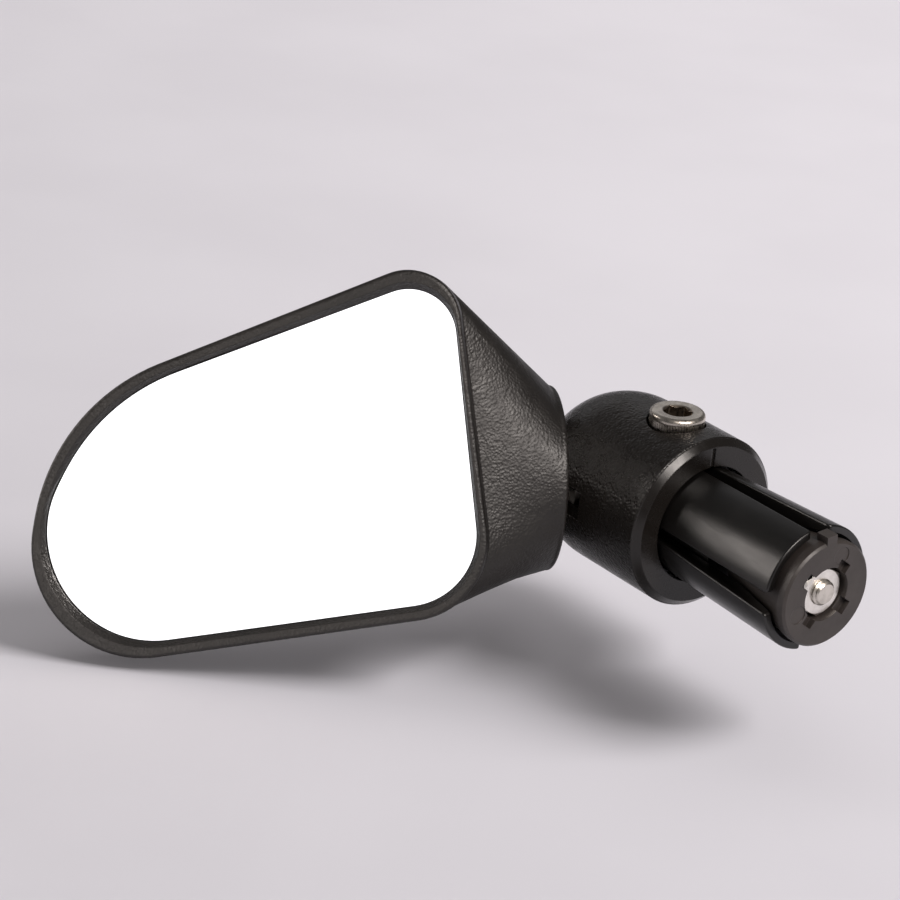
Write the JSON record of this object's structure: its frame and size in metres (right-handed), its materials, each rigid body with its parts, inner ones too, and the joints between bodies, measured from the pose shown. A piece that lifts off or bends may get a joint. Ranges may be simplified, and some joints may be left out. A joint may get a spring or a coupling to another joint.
{
  "type": "bicycle bar-end mirror",
  "caption": "Bar-end bicycle mirror: teardrop head on a slotted-dome elbow that clamps on an expanding handlebar plug.",
  "frame": {"origin": "centre of the knuckle's flat end face, which stops against the end of the handlebar, on the plug's axis", "axes": "+X along the plug into the handlebar, +Z along the clamp screw's axis towards its head"},
  "size_m": [0.0858, 0.098, 0.0589],
  "materials": {
    "grained_plastic": "black glass-filled nylon with a fine spark-eroded grain",
    "plug_nylon": "black moulded nylon, smooth and slightly glossy",
    "stainless_steel": "stainless steel, turned and knurled",
    "zinc_steel": "white zinc plated steel",
    "spring_steel": "oiled spring steel",
    "white_nylon": "natural nylon",
    "acetal": "black acetal",
    "mirror_glass": "silvered convex glass",
    "foam": "black closed-cell foam tape"
  },
  "bodies": {
    "plug": {"hub": "plug_nylon", "expander_washer": "zinc_steel"},
    "finger_1": {"finger_1": "plug_nylon"},
    "finger_2": {"finger_2": "plug_nylon"},
    "finger_3": {"finger_3": "plug_nylon"},
    "finger_4": {"finger_4": "plug_nylon"},
    "wedge": {"wedge": "plug_nylon", "wedge_nut": "zinc_steel"},
    "expander_bolt": {"expander_bolt": "zinc_steel"},
    "knuckle": {"knuckle": "grained_plastic"},
    "clamp_screw": {"clamp_screw": "stainless_steel"},
    "clamp_shoe": {"clamp_shoe": "zinc_steel"},
    "pivot": {"inner_cup": "zinc_steel", "pivot_bolt": "zinc_steel", "thrust_washer": "white_nylon", "disc_springs": "spring_steel", "pivot_washer": "zinc_steel", "lock_nut": "zinc_steel", "lock_nut_insert": "white_nylon"},
    "head": {"seat_cup": "acetal", "head_housing": "grained_plastic", "mirror_glass": "mirror_glass", "glass_pad": "foam"}
  },
  "joints": [
    {"name": "expander_bolt_turn", "type": "hinge", "parent": "plug", "child": "expander_bolt", "pos_m": [0, 0, 0], "axis": [1, 0, 0], "range_deg": [-1441, 1081]},
    {"name": "wedge_travel", "type": "slide", "parent": "plug", "child": "wedge", "axis": [-1, 0, 0], "range_m": [-0.0028, 0.0021]},
    {"name": "finger_1_flex", "type": "hinge", "parent": "plug", "child": "finger_1", "pos_m": [-0.0025, -0.00559, 0.00559], "axis": [0, -0.7071, -0.7071], "range_deg": [-1.19, 0.9]},
    {"name": "finger_2_flex", "type": "hinge", "parent": "plug", "child": "finger_2", "pos_m": [-0.0025, -0.00559, -0.00559], "axis": [0, 0.7071, -0.7071], "range_deg": [-1.19, 0.9]},
    {"name": "finger_3_flex", "type": "hinge", "parent": "plug", "child": "finger_3", "pos_m": [-0.0025, 0.00559, -0.00559], "axis": [0, 0.7071, 0.7071], "range_deg": [-1.19, 0.9]},
    {"name": "finger_4_flex", "type": "hinge", "parent": "plug", "child": "finger_4", "pos_m": [-0.0025, 0.00559, 0.00559], "axis": [0, -0.7071, 0.7071], "range_deg": [-1.19, 0.9]},
    {"name": "bar_swivel", "type": "hinge", "parent": "plug", "child": "knuckle", "pos_m": [0, 0, 0], "axis": [1, 0, 0], "range_deg": [-60, 60]},
    {"name": "clamp_screw_turn", "type": "hinge", "parent": "knuckle", "child": "clamp_screw", "pos_m": [-0.0088, 0, 0.01015], "axis": [0, 0, 1], "range_deg": [0, 361]},
    {"name": "clamp_shoe_travel", "type": "slide", "parent": "knuckle", "child": "clamp_shoe", "axis": [0, 0, 1], "range_m": [-0.0008, 0]},
    {"name": "neck_swing", "type": "hinge", "parent": "knuckle", "child": "pivot", "pos_m": [-0.0184, 0, 0], "axis": [0, 0, 1], "range_deg": [-62, 8]},
    {"name": "head_roll", "type": "hinge", "parent": "pivot", "child": "head", "pos_m": [-0.0184, 0, 0], "axis": [-0.4695, -0.8829, 0], "continuous": true}
  ],
  "couplings": [
    {"joint": "expander_bolt_turn", "follows": "wedge_travel", "rad_per_m": 8976},
    {"joint": "clamp_screw_turn", "follows": "clamp_shoe_travel", "rad_per_m": -7854},
    {"joint": "finger_1_flex", "follows": "wedge_travel", "rad_per_m": 7.3239},
    {"joint": "finger_2_flex", "follows": "wedge_travel", "rad_per_m": 7.3239},
    {"joint": "finger_3_flex", "follows": "wedge_travel", "rad_per_m": 7.3239},
    {"joint": "finger_4_flex", "follows": "wedge_travel", "rad_per_m": 7.3239}
  ]
}
